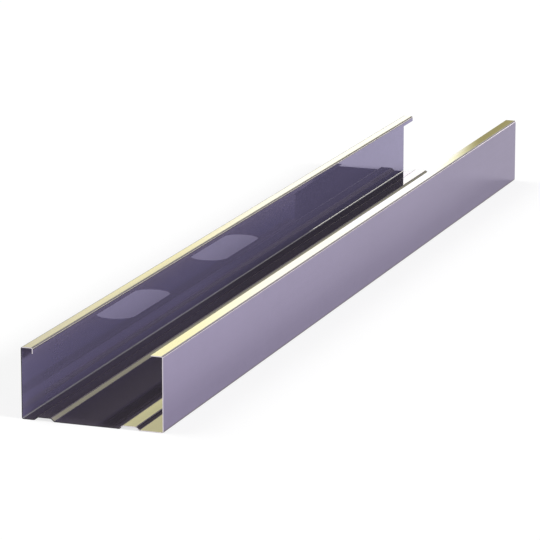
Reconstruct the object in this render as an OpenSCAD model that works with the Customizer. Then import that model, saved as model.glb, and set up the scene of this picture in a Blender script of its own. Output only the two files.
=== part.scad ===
// Drywall metal stud: a C section cold rolled from one strip of galvanised steel.
//
// The strip runs from a lip with a small return, down the shorter flange, across a
// web stiffened by two ribs, up the taller flange and over a plain lip. The flanges
// differ in height so that two studs can nest into a box. Two service openings go
// through the flat middle of the web.
//
// Frame: +Z up, +Y along the stud, +X towards the taller flange. The stud lies on
// its web, and the origin is on the floor under the middle of its box.

/* [Section] */
// Length of the stud
length = 800; // [600:10:3000]
// Width across the outer faces of the two flanges
web_w = 98.8; // [90:0.1:150]
// Height of the taller flange, from the floor to the top of its lip
tall_h = 51; // [30:0.5:70]
// Height of the shorter flange, from the floor to the top of its lip
short_h = 48.5; // [30:0.5:70]
// Thickness of the steel strip
sheet_t = 0.6; // [0.5:0.1:1.2]
// Inside radius of every bend
bend_r = 0.6; // [0.4:0.1:1.2]

/* [Lips] */
// Width of each lip, from the outer face of its flange to its edge
lip_w = 8.4; // [6:0.1:12]
// Height of the return folded down from the edge of the shorter flange's lip
return_h = 4; // [3:0.1:8]

/* [Web ribs] */
// Height of a rib above the flat web
rib_h = 2; // [1:0.05:3]
// Width of a rib at its foot
rib_foot_w = 13.9; // [12:0.1:16]
// Width of a rib across its flat top
rib_top_w = 9.1; // [6:0.1:10]
// Distance between the middles of the two ribs
rib_pitch = 59.4; // [55:0.1:62]
// Distance that the ribs and the openings sit off the web's middle, towards the shorter flange
web_shift = 3.9; // [0:0.1:5]

/* [Service openings] */
// Width of a service opening across the web
opening_w = 29.5; // [24:0.5:34]
// Length of a service opening along the stud
opening_l = 92; // [50:1:120]
// Radius of an opening's corners
opening_r = 13.5; // [4:0.5:13.5]
// Distance from the stud's near end, at -Y, to the middle of the first opening
opening_start = 302; // [80:1:340]
// Distance between the middles of the two openings
opening_pitch = 188; // [130:1:200]

/* [Hidden] */
$fn = 96;
// A bend turns by at most this angle from one point of its arc to the next
bend_step = 15;
outer_r = bend_r + sheet_t;

// Outer face of the strip as sharp corners [x, z], walked with the steel on the left.
corners = concat(
    [[-web_w / 2 + lip_w, short_h - return_h],
     [-web_w / 2 + lip_w, short_h],
     [-web_w / 2, short_h],
     [-web_w / 2, 0]],
    rib_corners(-web_shift - rib_pitch / 2),
    rib_corners(-web_shift + rib_pitch / 2),
    [[web_w / 2, 0],
     [web_w / 2, tall_h],
     [web_w / 2 - lip_w, tall_h]]
);
last = len(corners) - 1;

// The four corners of one rib's underside, around x = middle.
function rib_corners(middle) = [
    [middle - rib_foot_w / 2, 0],
    [middle - rib_top_w / 2, rib_h],
    [middle + rib_top_w / 2, rib_h],
    [middle + rib_foot_w / 2, 0]
];

// Unit vector at an angle from +X.
function ray(angle) = [cos(angle), sin(angle)];

// Direction of the leg that leaves corner i, and the left turn taken at that corner.
function heading(i) = atan2(corners[i + 1].y - corners[i].y, corners[i + 1].x - corners[i].x);
function turn(i) = (heading(i) - heading(i - 1) + 540) % 360 - 180;

// Bend at corner i, on the face that lies depth inside the outer one. The bend is an
// arc about one centre, tangent to both legs, with bend_r on its hollow side.
function bend(i, depth) =
    let (
        side = sign(turn(i)),
        face_r = side > 0 ? outer_r : bend_r,
        start = corners[i] - face_r * tan(abs(turn(i)) / 2) * ray(heading(i - 1)),
        centre = start + side * face_r * ray(heading(i - 1) + 90),
        steps = ceil(abs(turn(i)) / bend_step)
    )
    [for (k = [0 : steps])
        centre + (face_r - side * depth) * ray(heading(i - 1) - side * 90 + turn(i) * k / steps)];

// One face of the strip, from the edge of the return to the edge of the plain lip.
function face(depth) = concat(
    [corners[0] + depth * ray(heading(0) + 90)],
    [for (i = [1 : last - 1]) each bend(i, depth)],
    [corners[last] + depth * ray(heading(last - 1) + 90)]
);

// A list of points walked backwards.
function backwards(points) = [for (i = [len(points) - 1 : -1 : 0]) points[i]];

// Cross section of the rolled strip, between its outer and its inner face.
module section() {
    polygon(concat(face(0), backwards(face(sheet_t))));
}

// Outline of a service opening: a rectangle with round corners.
module opening_outline() {
    square([opening_w - 2 * opening_r, opening_l], center = true);
    square([opening_w, opening_l - 2 * opening_r], center = true);
    for (x = [-1, 1], y = [-1, 1])
        translate([x * (opening_w / 2 - opening_r), y * (opening_l / 2 - opening_r)])
            circle(r = opening_r);
}

// Cutter for the service opening around y = middle.
module service_opening(middle) {
    translate([-web_shift, middle, -sheet_t])
        linear_extrude(height = 3 * sheet_t)
            opening_outline();
}

module stud() {
    color([0.62, 0.59, 0.66])
        difference() {
            translate([0, length / 2, 0])
                rotate([90, 0, 0])
                    linear_extrude(height = length)
                        section();
            for (k = [0, 1])
                service_opening(opening_start + k * opening_pitch - length / 2);
        }
}

stud();
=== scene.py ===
"""Drywall metal stud: looks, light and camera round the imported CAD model.

The stud is one cold-rolled strip of zinc-coated steel. Its whole shape comes from the
CAD model, so nothing is modelled here: this script gives the steel its finish and
sets it on a plain pale floor in soft studio light. Lengths are in metres.
"""
import math

import bpy
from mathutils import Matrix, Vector


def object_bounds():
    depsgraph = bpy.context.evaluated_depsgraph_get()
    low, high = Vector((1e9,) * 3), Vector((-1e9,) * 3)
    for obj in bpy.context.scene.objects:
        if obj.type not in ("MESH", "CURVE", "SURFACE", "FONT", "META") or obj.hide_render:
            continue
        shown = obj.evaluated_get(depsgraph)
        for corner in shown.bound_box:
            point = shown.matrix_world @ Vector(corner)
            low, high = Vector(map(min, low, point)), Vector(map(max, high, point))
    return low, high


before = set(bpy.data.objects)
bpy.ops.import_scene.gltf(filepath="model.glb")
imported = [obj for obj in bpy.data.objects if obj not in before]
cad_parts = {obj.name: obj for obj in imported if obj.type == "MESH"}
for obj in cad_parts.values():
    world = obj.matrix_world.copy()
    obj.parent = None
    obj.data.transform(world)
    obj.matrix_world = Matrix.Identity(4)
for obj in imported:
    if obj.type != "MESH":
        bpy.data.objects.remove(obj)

cad_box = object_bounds()

# ---------------------------------------------------------------- small helpers


def colour(hex_code):
    """sRGB hex to a linear RGBA tuple, by the sRGB transfer curve."""
    parts = [int(hex_code[i:i + 2], 16) / 255 for i in (1, 3, 5)]
    linear = [p / 12.92 if p <= 0.04045 else ((p + 0.055) / 1.055) ** 2.4 for p in parts]
    return (*linear, 1.0)


def add(tree, kind, settings=None, **feeds):
    """Adds one node to a tree, with its settings, and feeds its inputs.

    An input goes by its name, with _ for a space, or by i and its index. It takes a plain
    value, another node's output, or another node, which stands for its first live output.
    """
    node = tree.nodes.new(kind)
    for name, value in (settings or {}).items():
        setattr(node, name, value)
    for name, value in feeds.items():
        socket = node.inputs[int(name[1:]) if name[1:].isdigit() else name.replace("_", " ")]
        if isinstance(value, bpy.types.Node):
            value = next(output for output in value.outputs if output.enabled)
        if isinstance(value, bpy.types.NodeSocket):
            tree.links.new(value, socket)
        else:
            socket.default_value = value
    return node


# ---------------------------------------------------------------- galvanised steel

# The zinc's colours: on the flanges and lips; on the web, a darker, greyer copy that is painted
# shade;
# on the flanges' inner faces, a bluer copy that is painted violet light; and on the narrow flat
# beside the shorter flange and the rib next to it, a darker, browner copy that is painted shade.
FLANGE_ZINC = "#958BAA"
SHADED_WEB_ZINC = "#8F8693"
VIOLET_LIT_INNER_ZINC = "#958DB3"
SHADED_FLAT_ZINC = "#8D8581"
# The sheared ends: bare bright steel, and darkened as painted shade. The folds: darkened outside
# as painted shade, with a painted highlight inside.
BRIGHT_CUT = "#D6CFD8"
SHADED_CUT = "#3A383E"
CRAZED_AND_SHADED_FOLD = "#6E6764"
PAINTED_FOLD_HIGHLIGHT = "#B0ABC2"

# How metallic the zinc is where the rolls burnish it, and on the inner faces and the lips,
# where its skin stays duller. The tint is what it keeps of light that it mirrors at a slant.
BURNISHED_METALLIC = 0.75
SHELTERED_METALLIC = 0.655
SLANTING_TINT = (0.6, 0.6, 0.57, 1.0)

# Where one finish passes into the next. Sideways distances count from the stud's middle, and
# heights from the floor it lies on. A pair is the start and the end of a soft border.
WEB_SIDE = (0.0478, 0.0484)
WEB_TOP = (0.0030, 0.0036)
INNER_FACE = (0.04885, 0.04900)
UNDER_LIPS = 0.0474
SHADED_FLAT_BORDER = (-0.0298, -0.0290)
SHEARED_END = (0.39990, 0.39995)
SHADED_CUT_BORDER = 0.020
SHADED_CUT_TOP = 0.0035
SHORT_FLANGE_INSIDE = -0.04875

# Where the strip is folded: the middle of each bend, sideways and in height, the way its outer
# side faces, and how far the zinc there is crazed and darkened as painted shade.
FOLDS = [
    (-0.0482, 0.0012, -1, -1, 0.75),
    (0.0482, 0.0012, 1, -1, 0.75),
    (-0.0482, 0.0473, -1, 1, 0.15),
    (0.0482, 0.0498, 1, 1, 0.15),
    (-0.0422, 0.0473, 1, 1, 0.6),
]
# A fold's outer side is what lies past a plane at 45 degrees, this far from the bend's
# middle, and within reach of that middle. Its inner side is a bend of 0.6 mm and a hair more.
AT_45_DEGREES = 0.7071
FOLD_OUTER = (0.00055, 0.00075)
FOLD_REACH = 0.002
FOLD_INNER = 0.00066

# The web's two ribs: how far off the stud's middle they are centred, half the distance
# between them, and the bends at top and foot, each as its distance from the rib's middle and
# half its width.
RIB_SHIFT = 0.0039
RIB_HALF_PITCH = 0.0297
RIB_BENDS = [(0.00472, 0.00042), (0.00719, 0.00022)]

# The patterns' sizes as drawn, how far each darkens and lightens the zinc, how deep the
# lines are, and the band that a noise's values mostly keep to.
CRYSTAL_SIZE = 0.00625
CRYSTAL_SHADE = (0.985, 1.015)
LINE_GAP = 0.0025
LINE_LENGTH = 0.2
LINE_SHADE = (0.98, 1.02)
LINE_DEPTH = 4e-7
CLOUD_SIZE = 0.1
CLOUD_SHADE = (0.985, 1.015)
NOISE_BAND = (0.3, 0.7)

# Roughness: on the burnished zinc, between and on the lines, and what is added to it where
# the zinc is crazed, sheared through or scuffed.
BURNISHED_ROUGHNESS = (0.022, 0.038)
CRAZED_ROUGHNESS = 0.2
SHEARED_ROUGHNESS = 0.3
SCUFFED_ROUGHNESS = 0.5


def galvanised_steel(material):
    """Cold-rolled strip steel, hot-dip zinc coated and then rolled to the stud's section.

    The zinc sets as flat crystals and the rolls burnish it, so it is nearly a mirror. A thin
    dull skin over it gives a violet-grey body colour. The ends are sheared through the zinc
    to bare matt steel, which is bright; on the shorter flange and the web the cut is darkened
    as painted shade. Round each fold the zinc is crazed and dull outside and darkened there
    as painted shade, and a painted highlight runs along the inside.
    """
    material.use_nodes = True
    tree = material.node_tree
    tree.nodes.clear()
    place = add(tree, "ShaderNodeTexCoord")
    spot = place.outputs["Object"]
    axis = add(tree, "ShaderNodeSeparateXYZ", Vector=spot)
    sideways, lengthways, height = axis.outputs["X"], axis.outputs["Y"], axis.outputs["Z"]
    across = add(tree, "ShaderNodeMath", {"operation": "ABSOLUTE"}, i0=sideways)
    along = add(tree, "ShaderNodeMath", {"operation": "ABSOLUTE"}, i0=lengthways)

    # The web and its ribs: inside the folds, and under the rib's height and a little more.
    inside = add(tree, "ShaderNodeMapRange", Value=across,
                 From_Min=WEB_SIDE[0], From_Max=WEB_SIDE[1], To_Min=1.0, To_Max=0.0)
    under = add(tree, "ShaderNodeMapRange", Value=height,
                From_Min=WEB_TOP[0], From_Max=WEB_TOP[1], To_Min=1.0, To_Max=0.0)
    web = add(tree, "ShaderNodeMath", {"operation": "MULTIPLY"}, i0=inside, i1=under)
    # The flanges' inner faces and the lips, which the rolls press less: all that is over the
    # web, and inside the flanges' outer skin.
    sheltered = add(tree, "ShaderNodeMapRange", Value=across,
                    From_Min=INNER_FACE[0], From_Max=INNER_FACE[1], To_Min=1.0, To_Max=0.0)
    sheltered = add(tree, "ShaderNodeMath", {"operation": "SUBTRACT", "use_clamp": True},
                    i0=sheltered, i1=web)
    metal = add(tree, "ShaderNodeMapRange", Value=sheltered,
                To_Min=BURNISHED_METALLIC, To_Max=SHELTERED_METALLIC)
    # Of these, what is under the lips: the flanges' inner faces and the return.
    # They get a bluer copy of the zinc, which is painted violet light.
    walls = add(tree, "ShaderNodeMath", {"operation": "LESS_THAN"}, i0=height, i1=UNDER_LIPS)
    walls = add(tree, "ShaderNodeMath", {"operation": "MULTIPLY"}, i0=walls, i1=sheltered)
    # Painted shade on the narrow flat beside the shorter flange, and on the flat top of the rib
    # next to it:
    # a darker, browner copy of the web zinc that hides the violet mirrored from the flange.
    shaded_flat = add(tree, "ShaderNodeMapRange", Value=sideways,
                From_Min=SHADED_FLAT_BORDER[0], From_Max=SHADED_FLAT_BORDER[1], To_Min=1.0, To_Max=0.0)
    shaded_flat = add(tree, "ShaderNodeMath", {"operation": "MULTIPLY"}, i0=shaded_flat, i1=web)
    # The sheared ends: the last 0.05 mm of the length at either end.
    sheared = add(tree, "ShaderNodeMapRange", Value=along,
                  From_Min=SHEARED_END[0], From_Max=SHEARED_END[1], To_Min=0.0, To_Max=1.0)
    # The cut is darkened as painted shade on the shorter flange and on the web, as far as the
    # second rib.
    # The rest of the cut is bare bright steel.
    shaded_cut_area = add(tree, "ShaderNodeMath", {"operation": "LESS_THAN"}, i0=sideways, i1=SHADED_CUT_BORDER)
    low_down = add(tree, "ShaderNodeMath", {"operation": "LESS_THAN"}, i0=height, i1=SHADED_CUT_TOP)
    shaded_cut_area = add(tree, "ShaderNodeMath", {"operation": "MULTIPLY"}, i0=shaded_cut_area, i1=low_down)
    flange = add(tree, "ShaderNodeMath", {"operation": "LESS_THAN"},
                 i0=sideways, i1=SHORT_FLANGE_INSIDE)
    shaded_cut_area = add(tree, "ShaderNodeMath", {"operation": "MAXIMUM"}, i0=shaded_cut_area, i1=flange)
    cut = add(tree, "ShaderNodeMix", {"data_type": "RGBA"},
              i0=shaded_cut_area, i6=colour(BRIGHT_CUT), i7=colour(SHADED_CUT))

    # The folds: crazed, dull and darkened as painted shade on the outer side, with a painted
    # highlight on the inner side.
    section = add(tree, "ShaderNodeCombineXYZ", X=sideways, Z=height)
    crazed_and_shaded = 0.0
    fold_highlight = 0.0
    for fold_x, fold_z, out_x, out_z, share in FOLDS:
        offset = add(tree, "ShaderNodeVectorMath", {"operation": "SUBTRACT"},
                     i0=section, i1=(fold_x, 0.0, fold_z))
        reach = add(tree, "ShaderNodeVectorMath", {"operation": "LENGTH"}, i0=offset)
        lean = add(tree, "ShaderNodeVectorMath", {"operation": "DOT_PRODUCT"},
                   i0=offset, i1=(out_x * AT_45_DEGREES, 0.0, out_z * AT_45_DEGREES))
        outer = add(tree, "ShaderNodeMapRange", Value=lean,
                    From_Min=FOLD_OUTER[0], From_Max=FOLD_OUTER[1], To_Min=0.0, To_Max=share)
        close = add(tree, "ShaderNodeMath", {"operation": "LESS_THAN"}, i0=reach, i1=FOLD_REACH)
        bend = add(tree, "ShaderNodeMath", {"operation": "MULTIPLY"}, i0=outer, i1=close)
        crazed_and_shaded = add(tree, "ShaderNodeMath", {"operation": "MAXIMUM"}, i0=crazed_and_shaded, i1=bend)
        # The inner side of each bend gets a painted highlight.
        inner = add(tree, "ShaderNodeMath", {"operation": "LESS_THAN"}, i0=reach, i1=FOLD_INNER)
        fold_highlight = add(tree, "ShaderNodeMath", {"operation": "MAXIMUM"}, i0=fold_highlight, i1=inner)

    # The bends of the ribs, where the rolls scuff the zinc dull: the distance from the nearer
    # rib's middle is compared with each bend's.
    aside = add(tree, "ShaderNodeMath", {"operation": "ADD"}, i0=sideways, i1=RIB_SHIFT)
    aside = add(tree, "ShaderNodeMath", {"operation": "ABSOLUTE"}, i0=aside)
    aside = add(tree, "ShaderNodeMath", {"operation": "SUBTRACT"}, i0=aside, i1=RIB_HALF_PITCH)
    aside = add(tree, "ShaderNodeMath", {"operation": "ABSOLUTE"}, i0=aside)
    scuffed = 0.0
    for distance, half_width in RIB_BENDS:
        bend = add(tree, "ShaderNodeMath", {"operation": "COMPARE"},
                   i0=aside, i1=distance, i2=half_width)
        scuffed = add(tree, "ShaderNodeMath", {"operation": "MAXIMUM"}, i0=scuffed, i1=bend)
    scuffed = add(tree, "ShaderNodeMath", {"operation": "MULTIPLY"}, i0=scuffed, i1=web)

    # Zinc crystals about 6 mm across, each a shade lighter or darker than the next.
    crystals = add(tree, "ShaderNodeTexVoronoi",
                   Vector=spot, Scale=1 / CRYSTAL_SIZE, Randomness=1.0)
    facet = add(tree, "ShaderNodeSeparateColor", Color=crystals.outputs["Color"])
    # Lines the rolls leave along the strip, about 2.5 mm apart and 200 mm long. The real ones
    # are ten times finer, and are drawn this coarse so that they show.
    stretched = add(tree, "ShaderNodeMapping", Vector=spot,
                    Scale=(1 / LINE_GAP, 1 / LINE_LENGTH, 1 / LINE_GAP))
    lines = add(tree, "ShaderNodeTexNoise", Vector=stretched, Scale=1.0, Detail=3.0)
    # Broad, faint clouding of the skin, about 100 mm across.
    clouds = add(tree, "ShaderNodeTexNoise", Vector=spot, Scale=1 / CLOUD_SIZE, Detail=2.0)
    shade = add(tree, "ShaderNodeMapRange", Value=facet,
                To_Min=CRYSTAL_SHADE[0], To_Max=CRYSTAL_SHADE[1])
    for noise, (darkest, lightest) in ((lines, LINE_SHADE), (clouds, CLOUD_SHADE)):
        streak = add(tree, "ShaderNodeMapRange", Value=noise,
                     From_Min=NOISE_BAND[0], From_Max=NOISE_BAND[1],
                     To_Min=darkest, To_Max=lightest)
        shade = add(tree, "ShaderNodeMath", {"operation": "MULTIPLY"}, i0=shade, i1=streak)

    # The copies for the web and the narrow flat are painted shade, and the copy for the inner
    # faces is painted violet light.
    zinc = colour(FLANGE_ZINC)
    for mask, tint in ((web, SHADED_WEB_ZINC), (shaded_flat, SHADED_FLAT_ZINC), (walls, VIOLET_LIT_INNER_ZINC)):
        zinc = add(tree, "ShaderNodeMix", {"data_type": "RGBA"},
                   i0=mask, i6=zinc, i7=colour(tint))
    skin = add(tree, "ShaderNodeHueSaturation", Value=shade, Color=zinc)
    # Over the zinc go the folds' painted shade outside and painted highlight inside, and the cut
    # ends, partly painted shade.
    for mask, tint in ((crazed_and_shaded, colour(CRAZED_AND_SHADED_FOLD)), (fold_highlight, colour(PAINTED_FOLD_HIGHLIGHT)),
                       (sheared, cut)):
        skin = add(tree, "ShaderNodeMix", {"data_type": "RGBA"}, i0=mask, i6=skin, i7=tint)
    roughness = add(tree, "ShaderNodeMapRange", Value=lines,
                    From_Min=NOISE_BAND[0], From_Max=NOISE_BAND[1],
                    To_Min=BURNISHED_ROUGHNESS[0], To_Max=BURNISHED_ROUGHNESS[1])
    for mask, extra in ((crazed_and_shaded, CRAZED_ROUGHNESS), (sheared, SHEARED_ROUGHNESS),
                        (scuffed, SCUFFED_ROUGHNESS)):
        roughness = add(tree, "ShaderNodeMath", {"operation": "MULTIPLY_ADD"},
                        i0=mask, i1=extra, i2=roughness)
    relief = add(tree, "ShaderNodeBump", Strength=1.0, Distance=LINE_DEPTH, Height=lines)
    surface = add(tree, "ShaderNodeBsdfPrincipled", Base_Color=skin, Metallic=metal,
                  Roughness=roughness, Specular_Tint=SLANTING_TINT, Normal=relief)
    add(tree, "ShaderNodeOutputMaterial", Surface=surface)


for node_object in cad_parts.values():
    for slot in node_object.material_slots:
        galvanised_steel(slot.material)

# ---------------------------------------------------------------- floor and light

# The floor reaches this far to each side. Its paint is pale for the light that it throws on
# the stud. What the camera sees of it is greyer paint that glows white, so that a faint shadow
# stays. It glows a little where the steel mirrors it.
FLOOR_REACH = 30.0
FLOOR_PAINT = "#FAFAFA"
FLOOR_SEEN = "#909090"
SEEN_GLOW = 0.75
MIRRORED_GLOW = 0.12


def floor_plate():
    """A flat square far wider than the stud, at the height the stud lies on."""
    level = cad_box[0].z
    mesh = bpy.data.meshes.new("floor")
    mesh.from_pydata([(x * FLOOR_REACH, y * FLOOR_REACH, level)
                      for x, y in ((-1, -1), (1, -1), (1, 1), (-1, 1))], [], [(0, 1, 2, 3)])
    floor = bpy.data.objects.new("floor", mesh)
    bpy.context.scene.collection.objects.link(floor)
    material = bpy.data.materials.new("pale studio floor")
    material.use_nodes = True
    tree = material.node_tree
    tree.nodes.clear()
    rays = add(tree, "ShaderNodeLightPath")
    seen, mirrored = rays.outputs["Is Camera Ray"], rays.outputs["Is Glossy Ray"]
    share = add(tree, "ShaderNodeMath", {"operation": "MULTIPLY"}, i0=seen, i1=SEEN_GLOW)
    share = add(tree, "ShaderNodeMath", {"operation": "MULTIPLY_ADD"},
                i0=mirrored, i1=MIRRORED_GLOW, i2=share)
    tone = add(tree, "ShaderNodeMix", {"data_type": "RGBA"},
               i0=seen, i6=colour(FLOOR_PAINT), i7=colour(FLOOR_SEEN))
    paint = add(tree, "ShaderNodeBsdfDiffuse", Color=tone)
    glow = add(tree, "ShaderNodeEmission", Color=(1, 1, 1, 1), Strength=share)
    both = add(tree, "ShaderNodeAddShader", i0=paint, i1=glow)
    add(tree, "ShaderNodeOutputMaterial", Surface=both)
    mesh.materials.append(material)


floor_plate()


# The studio's walls and soft boxes, as the steel mirrors them. Rise is height over sideways
# distance, and turn is sideways over lengthways distance, so that a panel's edge is straight
# along the stud. Each panel gives its side, its edges and its light, and lies over those
# before it. It fades in at its foot and out at its head in rise, and in at its far end and
# out at its near end in turn.
PANELS = [
    ("cream wall", "left", {"foot": (0.35, 0.60)}, (1.82, 1.86, 0.96)),
    ("unlit wall end", "left",
     {"foot": (0.35, 0.60), "head": (0.735, 0.775), "near": (0.2980, 0.3120)},
     (0.90, 0.84, 0.14)),
    ("lower soft box", "left",
     {"foot": (0.35, 0.60), "head": (0.69, 0.70), "far": (0.2980, 0.3120),
      "near": (0.380, 0.485)}, (3.25, 3.20, 1.44)),
    ("upper soft box", "left",
     {"foot": (0.69, 0.70), "head": (0.735, 0.775), "far": (0.2980, 0.3120),
      "near": (0.380, 0.485)}, (3.70, 3.75, 1.60)),
    ("soft boxes' white middle", "left",
     {"foot": (0.35, 0.60), "head": (0.80, 0.90), "far": (0.304, 0.3155),
      "near": (0.356, 0.396)}, (3.85, 3.95, 2.80)),
    ("rail between the boxes", "left",
     {"foot": (0.667, 0.673), "head": (0.700, 0.715)}, (0.40, 0.50, 0.90)),
    ("white wall past the flange", "left",
     {"foot": (0.700, 0.706), "head": (0.7262, 0.7275), "far": (0.300, 0.310),
      "near": (0.336, 0.345)}, (3.80, 3.80, 4.40)),
    ("left skirting", "left",
     {"foot": (-0.02, 0.02), "head": (0.35, 0.60)}, (0.40, 0.38, 0.28)),
    ("left ceiling", "left", {"foot": (1.1, 1.8)}, (0.30, 0.30, 0.22)),
    ("low wall", "right", {}, (0.30, 0.29, 0.50)),
    ("low strip light", "right",
     {"foot": (-0.02, 0.02), "head": (0.45, 0.55), "near": (0.60, 0.75)},
     (3.90, 4.00, 2.90)),
    ("its bright far end", "right",
     {"foot": (-0.02, 0.02), "head": (0.45, 0.55), "near": (0.360, 0.380)},
     (7.50, 7.60, 6.00)),
    ("dark curtain", "right",
     {"foot": (0.50, 0.60), "near": (0.365, 0.395)}, (0.03, 0.03, 0.12)),
    ("dark band", "right",
     {"foot": (0.71, 0.735), "head": (1.0, 1.6)}, (0.15, 0.16, 0.05)),
    ("high wall", "right", {"foot": (1.0, 1.6)}, (1.07, 1.14, 0.74)),
    ("right ceiling over the stud", "right", {"foot": (2.6, 3.6)}, (0.85, 0.85, 0.88)),
    ("left ceiling over the stud", "left", {"foot": (2.6, 3.6)}, (0.85, 0.85, 0.88)),
]
# How far to each side of straight up the left half of the room passes into the right half.
HALVES_BLEND = 0.05

# The room's plain light for what is matt: dim all round, and full from low on the right.
DIM_LIGHT = (0.25, 0.25, 0.25, 1.0)
FULL_LIGHT = (1.0, 1.0, 1.0, 1.0)
LOW_DOWN = (0.25, 0.45)
WHITE = "#FFFFFF"


def studio_world():
    """The room's light: plain for what is matt, panels for what mirrors it, white behind."""
    world = bpy.data.worlds.new("studio")
    bpy.context.scene.world = world
    world.use_nodes = True
    world.cycles.sampling_method = "NONE"
    tree = world.node_tree
    tree.nodes.clear()
    place = add(tree, "ShaderNodeTexCoord")
    axis = add(tree, "ShaderNodeSeparateXYZ", Vector=place.outputs["Generated"])
    sideways, lengthways, height = axis.outputs["X"], axis.outputs["Y"], axis.outputs["Z"]
    across = add(tree, "ShaderNodeMath", {"operation": "ABSOLUTE"}, i0=sideways)
    along = add(tree, "ShaderNodeMath", {"operation": "ABSOLUTE"}, i0=lengthways)
    rise = add(tree, "ShaderNodeMath", {"operation": "DIVIDE"}, i0=height, i1=across)
    turn = add(tree, "ShaderNodeMath", {"operation": "DIVIDE"}, i0=across, i1=along)
    left = add(tree, "ShaderNodeMapRange", {"interpolation_type": "SMOOTHSTEP"}, Value=sideways,
               From_Min=-HALVES_BLEND, From_Max=HALVES_BLEND, To_Min=1.0, To_Max=0.0)
    right = add(tree, "ShaderNodeMath", {"operation": "SUBTRACT"}, i0=1.0, i1=left)
    sides = {"left": left, "right": right}
    # What each edge is measured in, and a panel's share before it and after it.
    fades = {"foot": (rise, 0.0, 1.0), "head": (rise, 1.0, 0.0),
             "far": (turn, 0.0, 1.0), "near": (turn, 1.0, 0.0)}

    room = colour(WHITE)
    for name, side, edges, light in PANELS:
        share = sides[side]
        for edge, (start, end) in edges.items():
            slope, before, after = fades[edge]
            fade = add(tree, "ShaderNodeMapRange", {"interpolation_type": "SMOOTHSTEP"},
                       Value=slope, From_Min=start, From_Max=end, To_Min=before, To_Max=after)
            share = add(tree, "ShaderNodeMath", {"operation": "MULTIPLY"}, i0=share, i1=fade)
        room = add(tree, "ShaderNodeMix", {"data_type": "RGBA", "label": name},
                   i0=share, i6=room, i7=(*light, 1.0))

    rays = add(tree, "ShaderNodeLightPath")
    low = add(tree, "ShaderNodeMapRange", {"interpolation_type": "SMOOTHSTEP"}, Value=rise,
              From_Min=LOW_DOWN[0], From_Max=LOW_DOWN[1], To_Min=1.0, To_Max=0.0)
    low = add(tree, "ShaderNodeMath", {"operation": "MULTIPLY"}, i0=low, i1=right)
    soft = add(tree, "ShaderNodeMix", {"data_type": "RGBA"},
               i0=low, i6=DIM_LIGHT, i7=FULL_LIGHT)
    lit = add(tree, "ShaderNodeMix", {"data_type": "RGBA"},
              i0=rays.outputs["Is Glossy Ray"], i6=soft, i7=room)
    seen = add(tree, "ShaderNodeMix", {"data_type": "RGBA"},
               i0=rays.outputs["Is Camera Ray"], i6=lit, i7=colour(WHITE))
    background = add(tree, "ShaderNodeBackground", Color=seen, Strength=1.0)
    add(tree, "ShaderNodeOutputWorld", Surface=background)


studio_world()


def soft_lamp(name, bearing, elevation, spread, strength):
    """A wide far-off lamp, which the steel doesn't mirror.

    Bearing turns from +X towards +Y, and the three angles are in degrees.
    """
    data = bpy.data.lights.new(name, "SUN")
    data.energy = strength
    data.angle = math.radians(spread)
    lamp = bpy.data.objects.new(name, data)
    bpy.context.scene.collection.objects.link(lamp)
    bearing = math.radians(bearing)
    elevation = math.radians(elevation)
    towards = Vector((math.cos(elevation) * math.cos(bearing),
                      math.cos(elevation) * math.sin(bearing), math.sin(elevation)))
    lamp.rotation_mode = "QUATERNION"
    lamp.rotation_quaternion = towards.to_track_quat("Z", "Y")
    lamp.visible_glossy = False


soft_lamp("low lamp on the right", bearing=-5, elevation=29, spread=14, strength=2.4)
soft_lamp("high lamp on the left", bearing=175, elevation=55, spread=45, strength=1.35)

# ---------------------------------------------------------------- camera

# The camera stands this far round from the near end, above level, and away from its aim.
# The aim is a little off the middle of the stud's box. The lens and the sensor are in
# millimetres.
AZIMUTH = math.radians(20.0)
ELEVATION = math.radians(13.857)
DISTANCE = 2.7201
AIM_OFFSET = Vector((-0.0237, 0, -0.0166))
LENS = 243.15
SENSOR_WIDTH = 36.0
CLIP_END = 100

low, high = cad_box
aim = (low + high) / 2 + AIM_OFFSET
back = Vector((
    math.sin(AZIMUTH) * math.cos(ELEVATION),
    -math.cos(AZIMUTH) * math.cos(ELEVATION),
    math.sin(ELEVATION)))
camera_data = bpy.data.cameras.new("camera")
camera_data.lens = LENS
camera_data.sensor_width = SENSOR_WIDTH
camera_data.clip_end = CLIP_END
camera = bpy.data.objects.new("camera", camera_data)
bpy.context.scene.collection.objects.link(camera)
camera.location = aim + back * DISTANCE
camera.rotation_mode = "QUATERNION"
camera.rotation_quaternion = (-back).to_track_quat("-Z", "Y")
bpy.context.scene.camera = camera

bpy.context.scene.view_settings.view_transform = "Standard"
